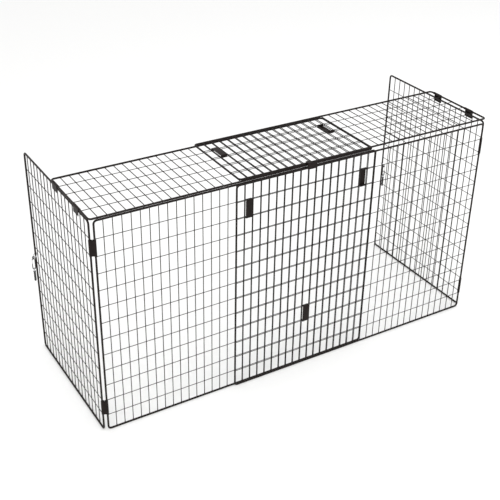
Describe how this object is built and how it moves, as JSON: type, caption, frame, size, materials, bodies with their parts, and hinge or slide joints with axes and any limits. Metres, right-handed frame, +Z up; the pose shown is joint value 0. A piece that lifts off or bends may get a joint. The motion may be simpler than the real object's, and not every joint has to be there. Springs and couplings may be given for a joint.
{
  "type": "extending fireguard",
  "caption": "Extending wire-mesh fireguard with lapping front panels, hinged full-height sides, a lapping lift-up lid and wall hooks on the back rods; no floor or back.",
  "frame": {"origin": "on the floor, at the centre of the outline", "axes": "+X along the front to the right, +Y from the front to the wall, +Z up"},
  "size_m": [1.3172, 0.4818, 0.6799],
  "materials": {
    "coated_wire": "satin black powder coat",
    "coated_sheet": "matt black powder coat",
    "coated_hook": "satin black",
    "zinc_wire": "bright zinc plate",
    "nylon": "moulded nylon"
  },
  "bodies": {
    "front_left": {"front_left": "coated_wire", "front_joiner_right": "coated_sheet"},
    "front_right": {"front_right": "coated_wire", "front_joiner_left": "coated_sheet", "front_joiner_low": "coated_sheet", "top_keeper": "coated_sheet"},
    "top_left": {"top_left": "coated_wire", "top_joiner_right": "coated_sheet", "side_hook_left_front": "coated_sheet", "side_hook_left_rear": "coated_sheet"},
    "top_right": {"top_right": "coated_wire", "top_joiner_left": "coated_sheet", "side_hook_right_front": "coated_sheet", "side_hook_right_rear": "coated_sheet"},
    "corner_clips_left": {"corner_clip_left_upper": "coated_sheet", "corner_clip_left_lower": "coated_sheet"},
    "corner_clips_right": {"corner_clip_right_upper": "coated_sheet", "corner_clip_right_lower": "coated_sheet"},
    "side_left": {"side_left": "coated_wire"},
    "side_right": {"side_right": "coated_wire"},
    "hook_ring_left": {"hook_ring_left": "zinc_wire"},
    "snap_hook_left": {"snap_hook_left": "coated_hook", "gate_pin_left": "zinc_wire"},
    "hook_gate_left": {"hook_gate_left": "zinc_wire"},
    "wall_eye_left": {"wall_eye_left": "zinc_wire", "wall_plug_left": "nylon"},
    "hook_ring_right": {"hook_ring_right": "zinc_wire"},
    "snap_hook_right": {"snap_hook_right": "coated_hook", "gate_pin_right": "zinc_wire"},
    "hook_gate_right": {"hook_gate_right": "zinc_wire"},
    "wall_eye_right": {"wall_eye_right": "zinc_wire", "wall_plug_right": "nylon"}
  },
  "joints": [
    {"name": "extension_slide", "type": "slide", "parent": "front_left", "child": "front_right", "axis": [1, 0, 0], "range_m": [-0.1778, 0.1778]},
    {"name": "lid_left_hinge", "type": "hinge", "parent": "front_left", "child": "top_left", "pos_m": [0, -0.23073, 0.66975], "axis": [1, 0, 0], "range_deg": [0, 90]},
    {"name": "lid_right_hinge", "type": "hinge", "parent": "front_right", "child": "top_right", "pos_m": [0, -0.23073, 0.66975], "axis": [1, 0, 0], "range_deg": [0, 90]},
    {"name": "corner_left_hinge", "type": "hinge", "parent": "front_left", "child": "corner_clips_left", "pos_m": [-0.6335, -0.23073, 0], "axis": [0, 0, 1], "range_deg": [-45, 0]},
    {"name": "side_left_hinge", "type": "hinge", "parent": "corner_clips_left", "child": "side_left", "pos_m": [-0.645, -0.22573, 0], "axis": [0, 0, 1], "range_deg": [-45, 0]},
    {"name": "corner_right_hinge", "type": "hinge", "parent": "front_right", "child": "corner_clips_right", "pos_m": [0.6335, -0.23672, 0], "axis": [0, 0, 1], "range_deg": [0, 45]},
    {"name": "side_right_hinge", "type": "hinge", "parent": "corner_clips_right", "child": "side_right", "pos_m": [0.645, -0.22573, 0], "axis": [0, 0, 1], "range_deg": [0, 45]},
    {"name": "ring_left_swivel", "type": "hinge", "parent": "side_left", "child": "hook_ring_left", "pos_m": [-0.645, 0.23147, 0.33], "axis": [0, 0, 1], "range_deg": [-100, 20]},
    {"name": "hook_left_swing", "type": "hinge", "parent": "hook_ring_left", "child": "snap_hook_left", "pos_m": [-0.6524, 0.23147, 0.3242], "axis": [0, 1, 0], "range_deg": [0, 90]},
    {"name": "gate_left_hinge", "type": "hinge", "parent": "snap_hook_left", "child": "hook_gate_left", "pos_m": [-0.6567, 0.23147, 0.317], "axis": [0, 1, 0], "range_deg": [-20, 0], "stiffness_Nm_per_rad": 0.004, "springref_deg": 28.65},
    {"name": "eye_left_swing", "type": "hinge", "parent": "snap_hook_left", "child": "wall_eye_left", "pos_m": [-0.6534, 0.23147, 0.2833], "axis": [1, 0, 0], "range_deg": [-60, 60]},
    {"name": "ring_right_swivel", "type": "hinge", "parent": "side_right", "child": "hook_ring_right", "pos_m": [0.645, 0.23147, 0.33], "axis": [0, 0, 1], "range_deg": [-20, 100]},
    {"name": "hook_right_swing", "type": "hinge", "parent": "hook_ring_right", "child": "snap_hook_right", "pos_m": [0.6524, 0.23147, 0.3242], "axis": [0, -1, 0], "range_deg": [0, 90]},
    {"name": "gate_right_hinge", "type": "hinge", "parent": "snap_hook_right", "child": "hook_gate_right", "pos_m": [0.6567, 0.23147, 0.317], "axis": [0, -1, 0], "range_deg": [-20, 0], "stiffness_Nm_per_rad": 0.004, "springref_deg": 28.65},
    {"name": "eye_right_swing", "type": "hinge", "parent": "snap_hook_right", "child": "wall_eye_right", "pos_m": [0.6534, 0.23147, 0.2833], "axis": [-1, 0, 0], "range_deg": [-60, 60]}
  ],
  "couplings": [
    {"joint": "lid_right_hinge", "follows": "lid_left_hinge", "ratio": 1},
    {"joint": "side_left_hinge", "follows": "corner_left_hinge", "ratio": 1},
    {"joint": "side_right_hinge", "follows": "corner_right_hinge", "ratio": 1}
  ]
}
